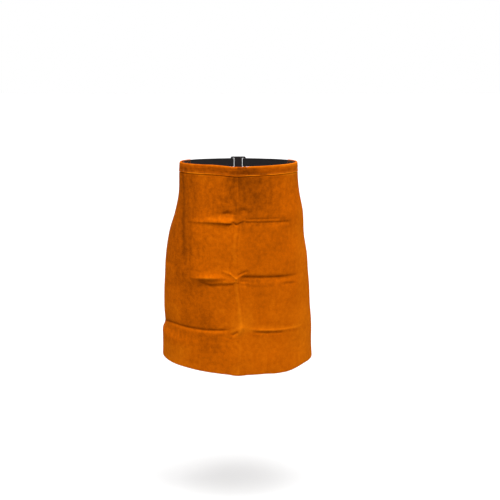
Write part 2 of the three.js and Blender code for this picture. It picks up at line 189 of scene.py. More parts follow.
# Patches of painted shade, below zero, and of painted light: oblongs with soft edges. One that goes on to the
# leather's edge ends well past it, as at 0.4 across.
TONE_PATCHES = (
    # across from, to; drop from, to; softness left, right, top, bottom; tone
    # Along the waistband's lip: painted light over the shadow under it, and painted shade in places
    (-0.172, -0.105, 0.023, 0.027, 0.01, 0.015, 0.001, 0.002, 0.2),
    (-0.156, 0.4, 0.023, 0.027, 0.01, 0.01, 0.001, 0.002, 0.14),
    (-0.13, -0.092, 0.024, 0.04, 0.01, 0.01, 0.002, 0.012, 0.14),
    (-0.034, 0.004, 0.024, 0.034, 0.006, 0.004, 0.002, 0.012, -0.16),
    (-0.002, 0.018, 0.022, 0.05, 0.004, 0.008, 0.002, 0.025, -0.12),
    (0.034, 0.4, 0.023, 0.027, 0.008, 0.01, 0.001, 0.002, 0.16),
    (0.036, 0.052, 0.024, 0.032, 0.006, 0.006, 0.002, 0.006, 0.12),
    (0.128, 0.4, 0.0225, 0.0275, 0.01, 0.01, 0.001, 0.002, 0.22),
    # The left side, in painted shade above and painted paler at its edge lower down
    (-0.4, -0.135, -0.01, 0.345, 0.01, 0.06, 0.01, 0.02, -0.2),
    (-0.4, -0.15, 0.09, 0.18, 0.01, 0.03, 0.05, 0.06, -0.08),
    (-0.14, -0.112, 0.165, 0.305, 0.012, 0.012, 0.015, 0.015, 0.12),
    (-0.4, -0.205, 0.29, 0.345, 0.01, 0.015, 0.015, 0.015, 0.22),
    (-0.4, -0.11, 0.345, 0.468, 0.01, 0.05, 0.02, 0.006, -0.12),
    (-0.4, -0.185, 0.35, 0.47, 0.01, 0.025, 0.02, 0.008, 0.12),
    (-0.4, -0.185, 0.405, 0.462, 0.01, 0.02, 0.015, 0.01, 0.1),
    # The right side, painted paler all the way down, and the right half below the middle crease
    (0.13, 0.4, -0.01, 0.03, 0.02, 0.01, 0.01, 0.03, 0.06),
    (0.18, 0.4, 0.085, 0.61, 0.03, 0.01, 0.04, 0.01, 0.1),
    (0.16, 0.4, 0.1, 0.345, 0.04, 0.01, 0.08, 0.08, 0.06),
    (-0.03, 0.4, 0.345, 0.61, 0.04, 0.01, 0.08, 0.01, 0.06),
    (0.15, 0.4, 0.4, 0.61, 0.03, 0.01, 0.05, 0.01, 0.08),
    # Painted shade at the dark top of the upright crease
    (-0.045, -0.01, -0.01, 0.08, 0.03, 0.006, 0.01, 0.03, -0.22),
    (-0.016, -0.002, -0.01, 0.12, 0.008, 0.004, 0.01, 0.03, -0.12),
    (-0.008, 0, -0.01, 0.11, 0.004, 0.004, 0.01, 0.04, -0.12),
    (0, 0.07, -0.01, 0.06, 0.004, 0.01, 0.01, 0.06, -0.1),
    (0, 0.06, -0.01, 0.11, 0.004, 0.04, 0.01, 0.05, -0.22),
    (0.03, 0.08, 0.06, 0.11, 0.02, 0.02, 0.02, 0.03, -0.08),
    (-0.012, 0.08, 0.108, 0.175, 0.01, 0.03, 0.015, 0.02, -0.13),
    # Above the upper crease, on the left
    (-0.11, -0.03, 0.02, 0.115, 0.04, 0.04, 0.04, 0.02, -0.15),
    (-0.058, -0.032, 0.079, 0.095, 0.01, 0.008, 0.006, 0.008, -0.17),
    (-0.085, -0.045, 0.1, 0.135, 0.02, 0.02, 0.02, 0.01, -0.08),
    (-0.096, -0.062, 0.124, 0.142, 0.012, 0.012, 0.008, 0.008, -0.1),
    (-0.05, -0.018, 0.125, 0.14, 0.015, 0.006, 0.01, 0.006, -0.12),
    # Above the upper crease, on the right
    (0.085, 0.12, 0.01, 0.105, 0.015, 0.025, 0.02, 0.03, -0.17),
    (0.074, 0.096, 0.024, 0.1, 0.006, 0.01, 0.006, 0.02, -0.14),
    (0.13, 0.4, 0.06, 0.11, 0.02, 0.01, 0.02, 0.02, -0.07),
    (0.082, 0.126, 0.115, 0.144, 0.015, 0.015, 0.015, 0.004, -0.12),
    (0.052, 0.08, 0.116, 0.14, 0.01, 0.008, 0.008, 0.004, 0.12),
    (0.01, 0.026, 0.121, 0.132, 0.006, 0.006, 0.003, 0.006, 0.12),
    (0.12, 0.16, 0.13, 0.175, 0.02, 0.02, 0.02, 0.02, -0.07),
    (0.022, 0.05, 0.132, 0.143, 0.008, 0.008, 0.004, 0.004, -0.08),
    # Between the upper and the middle crease
    (0.005, 0.13, 0.165, 0.24, 0.03, 0.03, 0.01, 0.04, -0.11),
    (0.036, 0.11, 0.167, 0.178, 0.01, 0.015, 0.003, 0.008, 0.12),
    (-0.105, -0.062, 0.308, 0.317, 0.01, 0.01, 0.005, 0.003, -0.1),
    # Between the middle and the lower crease
    (0.018, 0.1, 0.321, 0.34, 0.012, 0.015, 0.004, 0.01, -0.15),
    (0.036, 0.07, 0.338, 0.362, 0.01, 0.01, 0.006, 0.008, -0.1),
    (0.04, 0.08, 0.35, 0.44, 0.02, 0.02, 0.04, 0.02, -0.07),
    (-0.03, 0.035, 0.38, 0.47, 0.02, 0.02, 0.05, 0.01, 0.1),
    (-0.125, -0.085, 0.405, 0.468, 0.03, 0.04, 0.05, 0.006, -0.12),
    # Below the lower crease
    (-0.4, -0.11, 0.48, 0.508, 0.01, 0.02, 0.012, 0.02, -0.14),
    (-0.125, -0.056, 0.48, 0.52, 0.03, 0.016, 0.006, 0.04, -0.16),
    (-0.4, -0.13, 0.48, 0.61, 0.01, 0.03, 0.01, 0.01, 0.06),
    (-0.4, -0.17, 0.525, 0.61, 0.01, 0.03, 0.02, 0.01, 0.14),
    (-0.02, 0.002, 0.56, 0.61, 0.008, 0.008, 0.015, 0.01, 0.1),
)
# Lines of painted shade, below zero, and of painted light, along the creases and wrinkles
TONE_LINES = (
    # across from, to; drop from, to; tone; spread
    # Upright streaks of painted shade, where wrinkles and the flank's bend run down
    (-0.186, -0.162, 0, 0.27, -0.18, 0.0045),
    (0.075, 0.077, 0.028, 0.08, -0.05, 0.003),
    (0.12, 0.122, 0.11, 0.14, -0.06, 0.003),
    (-0.135, -0.122, 0.198, 0.233, -0.08, 0.003),
    (-0.115, -0.11, 0.238, 0.278, -0.08, 0.003),
    (0.062, 0.06, 0.255, 0.275, -0.06, 0.004),
    (-0.137, -0.132, 0.493, 0.545, -0.1, 0.003),
    # Along the upper crease
    (-0.105, -0.045, 0.164, 0.164, 0.14, 0.003),
    (-0.095, -0.042, 0.157, 0.157, -0.16, 0.003),
    (-0.045, -0.012, 0.163, 0.161, -0.1, 0.003),
    (-0.02, -0.01, 0.146, 0.15, 0.12, 0.004),
    (-0.02, -0.008, 0.16, 0.157, -0.36, 0.0045),
    (-0.012, -0.01, 0.172, 0.182, 0.12, 0.004),
    (-0.004, 0.003, 0.16, 0.16, -0.28, 0.003),
    (0.004, 0.014, 0.158, 0.155, -0.22, 0.003),
    (0.011, 0.02, 0.148, 0.148, 0.16, 0.003),
    (0.012, 0.022, 0.16, 0.159, -0.14, 0.003),
    (0.014, 0.028, 0.155, 0.154, -0.1, 0.003),
    (0.028, 0.12, 0.147, 0.15, -0.1, 0.0018),
    (0.045, 0.12, 0.164, 0.165, -0.14, 0.0035),
    (0.088, 0.138, 0.151, 0.152, -0.14, 0.0035),
    # Along the middle crease
    (-0.16, -0.11, 0.3, 0.302, -0.1, 0.003),
    (-0.145, -0.12, 0.328, 0.331, 0.16, 0.005),
    (-0.118, -0.068, 0.3235, 0.3235, 0.18, 0.0025),
    (-0.11, -0.062, 0.342, 0.343, -0.22, 0.005),
    (-0.095, -0.072, 0.334, 0.335, -0.12, 0.004),
    (-0.058, -0.018, 0.323, 0.321, -0.16, 0.0035),
    (-0.04, -0.02, 0.297, 0.303, 0.1, 0.002),
    (-0.02, -0.003, 0.303, 0.315, 0.14, 0.002),
    (0.021, -0.003, 0.302, 0.317, 0.04, 0.003),
    (0.004, 0.026, 0.306, 0.296, -0.12, 0.003),
    (0.006, 0.014, 0.314, 0.315, -0.18, 0.003),
    (0.012, 0.06, 0.32, 0.323, -0.16, 0.005),
    (0.027, 0.056, 0.303, 0.277, -0.1, 0.004),
    (0.13, 0.18, 0.34, 0.343, -0.16, 0.004),
    # Along the lower crease
    (-0.016, -0.005, 0.4715, 0.465, 0.1, 0.003),
    (-0.012, 0.006, 0.484, 0.475, 0.1, 0.003),
    (-0.003, 0.004, 0.471, 0.467, -0.22, 0.0022),
    (0.012, 0.004, 0.45, 0.468, 0.16, 0.009),
    (0.032, 0.125, 0.468, 0.473, 0.11, 0.003),
    (0.045, 0.135, 0.483, 0.488, -0.09, 0.006),
    (0.074, 0.122, 0.479, 0.483, 0.1, 0.0025),
    (0.125, 0.2, 0.473, 0.4745, 0.16, 0.003),
    (0.158, 0.198, 0.4825, 0.483, -0.14, 0.003),
)
# How pale the middle crease is rubbed, by its drop, with a line of painted shade on each side of it
MIDDLE_SHINE = {
    "drop": (0, 0.15, 0.172, 0.23, 0.262, 0.31, 0.34, 0.44, 0.475, PANEL_LENGTH),
    "tone": (0, 0, 0.16, 0.12, 0.05, 0.05, 0.16, 0.12, 0.02, 0.02),
}
MIDDLE_LINES = (
    # off the middle crease; share of its shine; spread
    (0, 1, 0.0035),
    (0.0075, -0.8, 0.0018),
    (-0.0085, -0.5, 0.0018),
    (0.011, 0.4, 0.0018),
)
# The waistband's patches of painted shade, below zero, and of painted light
BAND_TONES = (
    # the columns of TONE_PATCHES
    # The face above the seam, in painted shade, with painted light in places
    (-0.4, 0.4, 0.001, 0.0205, 0.01, 0.01, 0.003, 0.002, -0.2),
    (-0.4, -0.12, 0.001, 0.0205, 0.01, 0.02, 0.002, 0.002, 0.14),
    (-0.125, -0.09, 0.001, 0.0205, 0.01, 0.015, 0.002, 0.002, 0.1),
    (-0.06, 0, 0.001, 0.0205, 0.04, 0.006, 0.002, 0.002, -0.08),
    (-0.004, 0.042, 0.001, 0.0205, 0.006, 0.024, 0.002, 0.002, -0.18),
    (0.058, 0.4, 0.001, 0.0205, 0.015, 0.01, 0.002, 0.002, 0.15),
    (0.155, 0.4, 0.001, 0.0205, 0.01, 0.01, 0.002, 0.002, 0.15),
    (-0.135, -0.082, 0.002, 0.009, 0.01, 0.015, 0.002, 0.003, -0.13),
    (-0.135, -0.03, 0.011, 0.0195, 0.01, 0.01, 0.003, 0.001, 0.11),
    (0.062, 0.08, 0.0155, 0.0225, 0.004, 0.008, 0.002, 0.001, -0.32),
    # The lip below the seam: a painted highlight along it, with painted shade in places
    (-0.172, -0.108, 0.0205, 0.03, 0.008, 0.015, 0.001, 0.001, 0.2),
    (-0.156, 0.4, 0.0215, 0.03, 0.004, 0.01, 0.001, 0.001, 0.6),
    (-0.078, -0.014, 0.0215, 0.03, 0.008, 0.008, 0.001, 0.001, -0.25),
    (-0.066, 0.02, 0.0215, 0.03, 0.01, 0.01, 0.001, 0.001, -0.4),
    (0.062, 0.086, 0.0215, 0.03, 0.006, 0.01, 0.001, 0.001, -0.4),
    # A painted highlight along the fold at the top, with painted shade in places, and a strip of painted
    # shade down the left
    (-0.4, 0.4, -0.01, 0.001, 0.01, 0.01, 0.002, 0.002, 0.12),
    (-0.13, -0.08, -0.01, 0.002, 0.006, 0.006, 0.002, 0.002, -0.18),
    (-0.002, 0.024, -0.01, 0.002, 0.004, 0.006, 0.002, 0.002, -0.45),
    (0.12, 0.4, -0.01, 0.004, 0.01, 0.01, 0.002, 0.002, 0.18),
    (-0.172, -0.158, -0.01, 0.03, 0.004, 0.004, 0.002, 0.002, -0.16),
)
MOTTLE = {"left": 1.2, "right": 0.98, "over": 0.04, "top": 1.25, "top_drop": 0.15}
CUT_EDGE_TONE = 0.35  # a cut edge shows the paler fibre
INSIDE_SHARE = 0.35  # the inner face takes this share of the outer face's tone, painted light and shade with it
RELIEF_TONE = 18  # ridges are painted paler, as rubbed wear, and valleys darker, as painted shade, by their height

# The waistband's outside puffs out below its fold, is drawn in by its stitches and ends in a curled lip
BAND_PUFF = {
    "drop": (0, 0.009, 0.0185, 0.0205, BAND_EDGE),
    "out": (0, 0.0004, -0.0002, -0.0001, 0.0005),
}

# Sewing: the thread, a stitch's spine by shares of its length, lift and radius, and where its lines run
STITCH = {"length": 0.0034, "gap": 0.0012, "radius": 0.0004, "lift": 0.0003}
STITCH_SPINE = {
    "along": (0, 0.16, 0.5, 0.84, 1),
    "lift": (-1.2, 0.4, 1, 0.4, -1.2),
    "radius": (0.55, 1, 1, 1, 0.55),
}
STITCH_SIDES = 6
SEAM_DROP = 0.0192
SEAM_MARGIN = 0.004
BAR_TACKS = (0.026, 0.041)  # across each strap's fold-back, from the buckle's bar

# Grids of the leather's faces
PANEL_COLUMNS = 229
PANEL_ROWS = 185
EDGE_ROUNDING = 0.0006
SIDE_THINNING = 0.6  # share of the panel's thickness lost at a cut side
HEM_TURNS = (25, 90, 155)  # degrees round the hem's edge where its points are
COLUMN_CROWDING = 1.4
ROW_CROWDING = {"more": 3, "crease": 0.016, "seam": 0.006}  # how much closer, and within how far of each
ROW_SAMPLES = 4000
BAND_ROWS = 24
BEND_STEPS = 16
STRAP_STEP = 0.003
STRAP_ROWS = 41
STRAP_RIB = {"pitch": 0.0031, "depth": 0.00015}
SELVEDGE = 0.0005


# Curves

def smooth(low, high, value):
    """0 up to low, 1 from high, and the cubic step 3t^2 - 2t^3 between them."""
    t = np.clip((value - low) / (high - low), 0, 1)
    return t * t * (3 - 2 * t)


def through_rows(table, key, drop):
    """A monotone cubic through a table's rows: between two rows it is the Hermite cubic whose slope at each
    row is the harmonic mean of the slopes on both sides, or 0 where they differ in sign."""
    x = np.array(table["drop"])
    y = np.array(table[key])
    slope = np.diff(y) / np.diff(x)
    same = slope[:-1] * slope[1:] > 0
    total = np.where(same, slope[:-1] + slope[1:], 1)
    middle = np.where(same, 2 * slope[:-1] * slope[1:] / total, 0)
    tangent = np.concatenate([slope[:1], middle, slope[-1:]])
    i = np.clip(np.searchsorted(x, drop, side="right") - 1, 0, len(x) - 2)
    run = x[i + 1] - x[i]
    t = np.clip((drop - x[i]) / run, 0, 1)
    s = 1 - t
    start = (1 + 2 * t) * s * s * y[i] + t * s * s * run * tangent[i]
    return start + t * t * (3 - 2 * t) * y[i + 1] - t * t * s * run * tangent[i + 1]


def ridge(distance, above, below):
    """A fold's cross-section: the hyperbolic secant, 1 on its line and a half at one spread either side."""
    spread = np.where(distance < 0, above, below)
    far = 50  # nothing is left of it there, and cosh is in range
    return 1 / np.cosh(np.clip(np.arccosh(2) * distance / spread, -far, far))


def from_middle(across):
    """Distance from the middle, rounded off at 0 as a hyperbola is."""
    return np.hypot(across, MIDDLE_ROUNDING) - MIDDLE_ROUNDING


def side_line(side, across):
    """Drop of one half of a crease: the cubic through its four drops, by Lagrange's formula."""
    line = 0
    for place, drop in zip(CREASE_PLACES, side["drop"]):
        others = [other for other in CREASE_PLACES if other != place]
        line = line + drop * math.prod((np.abs(across) - other) / (place - other) for other in others)
    return line


def crease_line(crease, across):
    """Drop of a whole crease: from the left half's line smoothly over into the right half's."""
    left, right = (side_line(crease[side], across) for side in ("left", "right"))
    return left + (right - left) * smooth(-HALVES_MEET, HALVES_MEET, across)


def hem_rise(across):
    """How much shorter the panel is cut towards the sides: the sum of its cubic steps."""
    return sum(rise * smooth(start, end, side * across) for side, rise, start, end in HEM_CUT)


def top_edge(across):
    """Height of the panel's top edge: level at the sides, with a quarter sine wave down to the front."""
    reach = np.where(across < 0, FRONT_DIP["left_reach"], FRONT_DIP["right_reach"])
    share = np.clip(from_middle(across) / reach, 0, 1)
    return PANEL_TOP - FRONT_DIP["depth"] * (1 - np.sin(np.pi / 2 * share))


# The hanging leather

def half_section(drops, side):
    """Half of the worn section at each drop, seen from above, from the front round to the back: the
    superellipse |x/w|^n + |y/d|^n = 1. Gives x, y and the length along it, drops by samples."""
    turn = np.linspace(0, np.pi, SECTION_SAMPLES)
    x = through_rows(SECTIONS, side, drops)[:, None] * np.abs(np.sin(turn)) ** (2 / FULLNESS)
    front = through_rows(SECTIONS, "front", drops)[:, None]
    y = np.where(np.cos(turn) > 0, -front, WAIST_BACK) * np.abs(np.cos(turn)) ** (2 / FULLNESS)
    steps = np.hypot(np.diff(x, axis=1), np.diff(y, axis=1))
    return x, y, np.concatenate([np.zeros((len(drops), 1)), np.cumsum(steps, axis=1)], axis=1)


def section(drops, across):
    """The worn section's x and y, at each drop and at each length along it from the middle."""
    places = np.zeros((2, len(drops), len(across)))
    for side, sign in SIDES:
        here = across < 0 if side == "left" else across >= 0
        x, y, length = half_section(drops, side)
        reach = np.abs(across[here])
        places[0][:, here] = [sign * np.interp(reach, l, row) for l, row in zip(length, x)]
        places[1][:, here] = [np.interp(reach, l, row) for l, row in zip(length, y)]
    return places


def outward(drops, across):
    """The section's normal, seen from above: its tangent by central difference, turned a quarter turn."""
    nearby = 0.002
    along = section(drops, across + nearby) - section(drops, across - nearby)
    along /= np.hypot(*along)
    return np.stack([along[1], -along[0]])


def crease_rise(crease, across, drop):
    """One storage crease: the fold's cross-section on each side of the middle, times a cubic step where it
    grows and one where it fades."""
    rise = 0
    for name, sign in SIDES:
        side = crease[name]
        share = smooth(*side["grows"], sign * across) * (1 - smooth(*side["fades"], sign * across))
        fold = ridge(drop - side_line(side, across), side["above"], side["below"])
        rise = rise + share * side["rise"] * fold
    return rise


def pucker_rise(pucker, across, drop):
    """A short dent or ridge: the fold's cross-section by the distance to a line between two points."""
    across_from, across_to, drop_from, drop_to, rise, *spreads = pucker
    run = np.array([across_to - across_from, drop_to - drop_from])
    t = ((across - across_from) * run[0] + (drop - drop_from) * run[1]) / (run @ run)
    t = np.clip(t, 0, 1)
    down = drop - drop_from - t * run[1]
    distance = np.copysign(np.hypot(across - across_from - t * run[0], down), down)
    return rise * ridge(distance, spreads[0], spreads[-1])


def relief(across, drop):
    """How far the creases and puckers push the leather out from its smooth worn shape."""
    off_middle = across - through_rows(MIDDLE_CREASE, "across", drop)
    rise = through_rows(MIDDLE_CREASE, "rise", drop) * ridge(off_middle, MIDDLE_SPREAD, MIDDLE_SPREAD)
    swell = ridge(drop - SEAM_SWELL["drop"], SEAM_SWELL["above"], SEAM_SWELL["below"])
    rise = rise + SEAM_SWELL["rise"] * swell
    rise = rise + sum(crease_rise(crease, across, drop) for crease in CREASES)
    return rise + sum(pucker_rise(pucker, across, drop) for pucker in PUCKERS + WRINKLES)


def waves(across, drop):
    """The hide's slow waves: sines of the flat place in several directions, none under the waistband."""
    draw = np.random.default_rng(WAVE_SEED)
    height = np.zeros(np.broadcast(across, drop).shape)
    for length in WAVE_LENGTHS:
        turn, phase = draw.uniform(0, 2 * np.pi, 2)
        along = across * np.cos(turn) + drop * np.sin(turn)
        height += WAVE_HEIGHT * np.sin(2 * np.pi * along / length + phase)
    return height * smooth(BAND_EDGE, 3 * BAND_HEIGHT, drop)


def on_leather(across, drop, offset):
    """Points on the hanging leather, for a row of places across by drops and offsets of shape (across, n).
    Each fall line keeps its length: where the section spreads outwards by s in a step, it falls by
    sqrt(step^2 - s^2). Above the top edge it goes straight up. Offset and relief are along the normal."""
    stations = np.arange(0, PANEL_LENGTH + 2 * STATION, STATION)
    x, y = section(stations, across)
    spread = np.hypot(np.diff(x, axis=0), np.diff(y, axis=0))
    fall = np.sqrt(np.maximum(STATION**2 - spread**2, 0))
    z = top_edge(across) - np.concatenate([np.zeros((1, len(across))), np.cumsum(fall, axis=0)])
    normal_x, normal_y = outward(stations, across)
    below = np.clip(drop, 0, None) / STATION
    i = np.clip(below.astype(int), 0, len(stations) - 2)
    t = below - i
    column = np.arange(len(across))[:, None]
    x, y, z, normal_x, normal_y = (
        rows[i, column] * (1 - t) + rows[i + 1, column] * t for rows in (x, y, z, normal_x, normal_y)
    )
    push = offset + relief(across[:, None], drop) + waves(across[:, None], drop)
    return np.stack([x + push * normal_x, y + push * normal_y, z - np.clip(drop, None, 0)], axis=-1)


# Tone of the leather

def patch_tone(patch, across, drop):
    """One patch of painted shade or painted light: its tone, times a cubic step in from each of its four
    edges.
    """
    left, right, top, bottom, soft_left, soft_right, soft_top, soft_bottom, tone = patch
    inside = smooth(left, left + soft_left, across) * (1 - smooth(right, right + soft_right, across))
    inside = inside * smooth(top, top + soft_top, drop) * (1 - smooth(bottom, bottom + soft_bottom, drop))
    return tone * inside


def panel_tone(across, drop):
    """The panel's tone, painted shade and light with some rubbed wear: its height of relief, its patches, its
    lines, and the middle fold's lines.
    """
    off_middle = across - through_rows(MIDDLE_CREASE, "across", drop)
    tone = RELIEF_TONE * relief(across, drop)
    tone = tone + sum(patch_tone(patch, across, drop) for patch in TONE_PATCHES)
    # lines of painted shade and light, each drawn with a pucker's cross-section
    tone = tone + sum(pucker_rise(line, across, drop) for line in TONE_LINES)
    lines = sum(share * ridge(off_middle - off, spread, spread) for off, share, spread in MIDDLE_LINES)
    return tone + through_rows(MIDDLE_SHINE, "tone", drop) * lines


def mottle(across, drop):
    """How strongly the leather is mottled: more on the left half, and more near the top."""
    right = smooth(-MOTTLE["over"], MOTTLE["over"], across)
    half = MOTTLE["left"] + (MOTTLE["right"] - MOTTLE["left"]) * right
    return half * (1 + (MOTTLE["top"] - 1) * (1 - smooth(0, MOTTLE["top_drop"], drop)))


# Meshes

def new_piece(name, points, faces, material):
    """A mesh object at the origin from arrays of points and of four-cornered faces."""
    mesh = bpy.data.meshes.new(name)
    mesh.vertices.add(len(points))
    mesh.vertices.foreach_set("co", np.asarray(points, np.float32).ravel())
    mesh.loops.add(faces.size)
    mesh.loops.foreach_set("vertex_index", faces.astype(np.int32).ravel())
    mesh.polygons.add(len(faces))
    mesh.polygons.foreach_set("loop_start", np.arange(0, faces.size, faces.shape[1], dtype=np.int32))
    mesh.polygons.foreach_set("use_smooth", np.full(len(faces), True))
    mesh.update(calc_edges=True)
    mesh.validate()
    piece = bpy.data.objects.new(name, mesh)
    bpy.context.scene.collection.objects.link(piece)
    mesh.materials.append(material)
    return piece


def note(piece, name, values):
    """Write an attribute on the piece's points: one number each, or three."""
    kind, key = ("FLOAT", "value") if values.ndim == 1 else ("FLOAT_VECTOR", "vector")
    attribute = piece.data.attributes.new(name, kind, "POINT")
    attribute.data.foreach_set(key, np.asarray(values, np.float32).ravel())


def ring_faces(columns, around):
    """Faces of a grid of closed rings, one after the other, with each end ring closed by quads across it from
    a point to its mirror in the list."""
    column, step = np.meshgrid(np.arange(columns - 1), np.arange(around), indexing="ij")
    after = (step + 1) % around
    sides = np.stack(
        [column * around + step, column * around + after,
         (column + 1) * around + after, (column + 1) * around + step], axis=-1
    ).reshape(-1, 4)
    i = np.arange(around // 2 - 1)
    start = np.stack([i, around - 1 - i, around - 2 - i, i + 1], axis=-1)
    end = (columns - 1) * around + start[:, ::-1]
    return np.concatenate([sides, start, end])


def leather_wall(name, across, drop, offset, tone, material):
    """A closed wall of leather: at each place across, a ring of points given by drop and offset, down the
    outer face and back up the inner one. Each point keeps its flat place and its tone for the material."""
    points = on_leather(across, drop, offset)
    piece = new_piece(name, points.reshape(-1, 3), ring_faces(*drop.shape), material)
    flat = np.stack([np.broadcast_to(across[:, None], drop.shape), drop, offset], axis=-1)
    note(piece, "flat", flat.reshape(-1, 3))
    note(piece, "tone", tone.ravel())
    note(piece, "mottle", mottle(across[:, None], drop).ravel())
    return piece


# Materials

def linear(hex_colour):
    """An sRGB hex colour as linear red, green, blue and alpha."""
    srgb = np.array([int(hex_colour[i:i + 2], 16) for i in (1, 3, 5)]) / 255
    return (*np.where(srgb <= 0.04045, srgb / 12.92, ((srgb + 0.055) / 1.055) ** 2.4), 1.0)


def set_inputs(tree, node, inputs):
    """Set a node's inputs, each to a value or to another node's output."""
    for name, value in inputs.items():
        if isinstance(value, bpy.types.NodeSocket):
            tree.links.new(value, node.inputs[name])
        else:
            node.inputs[name].default_value = value


def add(tree, kind, inputs=None, stops=None, out=0, **settings):
    """Add one node, with its settings, its inputs and a ramp's stops, and give one of its outputs."""
    made = tree.nodes.new("ShaderNode" + kind)
    for name, value in settings.items():
        setattr(made, name, value)
    set_inputs(tree, made, inputs or {})
    if stops:
        elements = made.color_ramp.elements
        while len(elements) < len(stops):
            elements.new(1)
        for element, (place, colour) in zip(elements, stops):
            element.position = place
            element.color = linear(colour)
    return made.outputs[out]


def new_material(name):
    """An empty node material with its Principled shader, and the shader's node."""
    material = bpy.data.materials.new(name)
    material.use_nodes = True
    tree = material.node_tree
    return material, tree, tree.nodes["Principled BSDF"]


def split_cowhide(name, dark, middle, light, streak_mm, streaks):
    """Split cowhide, dyed through and napped: no grain layer, so a dull felt of fibres that takes the dye
    unevenly. The eye sees mottling, fine streaks along the fibres, places rubbed pale, and the painted light
    and shade of the tone attribute. "streak_mm" is how wide and how long the streaks are, and "streaks" is
    their share."""
    material, tree, shader = new_material(name)
    flat = add(tree, "Attribute", out="Vector", attribute_name="flat")
    tone = add(tree, "Attribute", out="Fac", attribute_name="tone")
    strength = add(tree, "Attribute", out="Fac", attribute_name="mottle")
    clouds_mm, mottle_mm, nap_mm = 34, 12, 3.2  # the nap drawn coarser than its 1 mm
    wide, long = streak_mm
    scale = (1000 / wide, 1000 / long, 1000 / min(streak_mm))
    stretch = add(tree, "Mapping", {"Vector": flat, "Scale": scale})
    layers = (
        # a noise, and its share of the unevenness
        ({"Vector": flat, "Scale": 1000 / clouds_mm, "Detail": 2, "Roughness": 0.5}, 0.18),
        ({"Vector": flat, "Scale": 1000 / mottle_mm, "Detail": 3, "Roughness": 0.6}, 0.53),
        ({"Vector": stretch, "Scale": 1, "Detail": 3}, streaks),
        ({"Vector": flat, "Scale": 1000 / nap_mm, "Detail": 4, "Roughness": 0.7}, 0.36),
    )
    noises = [(add(tree, "TexNoise", inputs), share) for inputs, share in layers]
    uneven = -sum(share for _, share in noises) / 2
    for noise, share in noises:
        uneven = add(tree, "Math", {0: noise, 1: share, 2: uneven}, operation="MULTIPLY_ADD")
    value = add(tree, "Math", {0: uneven, 1: strength, 2: tone}, operation="MULTIPLY_ADD")
    plain = 0.5  # the ramp's place for leather of no tone
    value = add(tree, "Math", {0: value, 1: plain}, operation="ADD")
    colour = add(tree, "ValToRGB", {"Fac": value}, [(0, dark), (plain, middle), (1, light)])
    fibres = add(tree, "Math", {0: noises[2][0], 1: noises[3][0]}, operation="ADD")
    bump = add(tree, "Bump", {"Height": fibres, "Strength": 0.35, "Distance": 0.0006})
    set_inputs(tree, shader, {
        "Base Color": colour, "Normal": bump, "Roughness": 0.95, "Specular IOR Level": 0.02,
        "Sheen Weight": 0.1, "Sheen Roughness": 0.5, "Sheen Tint": linear("#FF8A00"),
    })
    return material


def wave_scale(wavelength_mm):
    """The scale of a wave texture with that wavelength: its sine turns by 20 times the scale in a metre."""
    return math.tau * 1000 / wavelength_mm / 20


def woven_webbing():
    """Polypropylene webbing, plain woven: dull black, with ribs across it that catch a little light."""
    material, tree, shader = new_material("woven_polypropylene_webbing")
    woven = add(tree, "Attribute", out="Vector", attribute_name="woven")
    thread_mm = 2.4  # coarser than the real 1.2 mm, so that the weave shows
    threads = {"Vector": woven, "Scale": wave_scale(thread_mm)}
    warp, weft = (add(tree, "TexWave", threads, out="Fac", bands_direction=axis) for axis in "XY")
    weave = add(tree, "Math", {0: warp, 1: weft}, operation="MULTIPLY")
    colour = add(tree, "ValToRGB", {"Fac": weave}, [(0, "#0E0E10"), (1, "#2A2A2D")])
    bump = add(tree, "Bump", {"Height": weave, "Strength": 0.6, "Distance": 0.0004})
    set_inputs(tree, shader, {
        "Base Color": colour, "Normal": bump, "Roughness": 0.8, "Specular IOR Level": 0.25,
        "Sheen Weight": 0.04,
    })
    return material


def moulded_acetal():
    """Acetal, moulded with a fine spark-eroded texture: deep black with a soft satin shine."""
    material, tree, shader = new_material("moulded_acetal")
    place = add(tree, "TexCoord", out="Object")
    grit_mm = 0.8
    grit = add(tree, "TexNoise", {"Vector": place, "Scale": 1000 / grit_mm, "Detail": 2})
    colour = add(tree, "ValToRGB", {"Fac": grit}, [(0.3, "#121214"), (0.7, "#1C1C1F")])
    rough = add(tree, "MapRange", {"Value": grit, "To Min": 0.38, "To Max": 0.52})
    bump = add(tree, "Bump", {"Height": grit, "Strength": 0.15, "Distance": 0.0001})
    set_inputs(tree, shader, {"Base Color": colour, "Normal": bump, "Roughness": rough, "IOR": 1.48})
    return material


def aramid_thread(name, dark, light):
    """Aramid sewing thread, twisted from three plies: slanting plies and a faint sheen."""
    material, tree, shader = new_material(name)
    place = add(tree, "TexCoord", out="Object")
    ply_mm = 0.9
    twist = {"Vector": place, "Scale": wave_scale(ply_mm), "Distortion": 1}
    plies = add(tree, "TexWave", twist, out="Fac", bands_direction="DIAGONAL")
    colour = add(tree, "ValToRGB", {"Fac": plies}, [(0, dark), (1, light)])
    set_inputs(tree, shader, {"Base Color": colour, "Roughness": 0.7, "Specular IOR Level": 0.15})
    return material


# Pieces

def columns_across():
    """Places across of the leather's columns, crowded towards the middle, with one more at each cut side."""
    share = np.linspace(-1, 1, PANEL_COLUMNS)
    inner = np.sign(share) * (HALF_WIDTH - EDGE_ROUNDING) * np.abs(share) ** COLUMN_CROWDING
    return np.concatenate([[-HALF_WIDTH], inner, [HALF_WIDTH]])


def cut_sides(across):
    """1 at the two cut sides, and 0 between them."""
    return (np.abs(across) > HALF_WIDTH - EDGE_ROUNDING / 2).astype(float)[:, None]


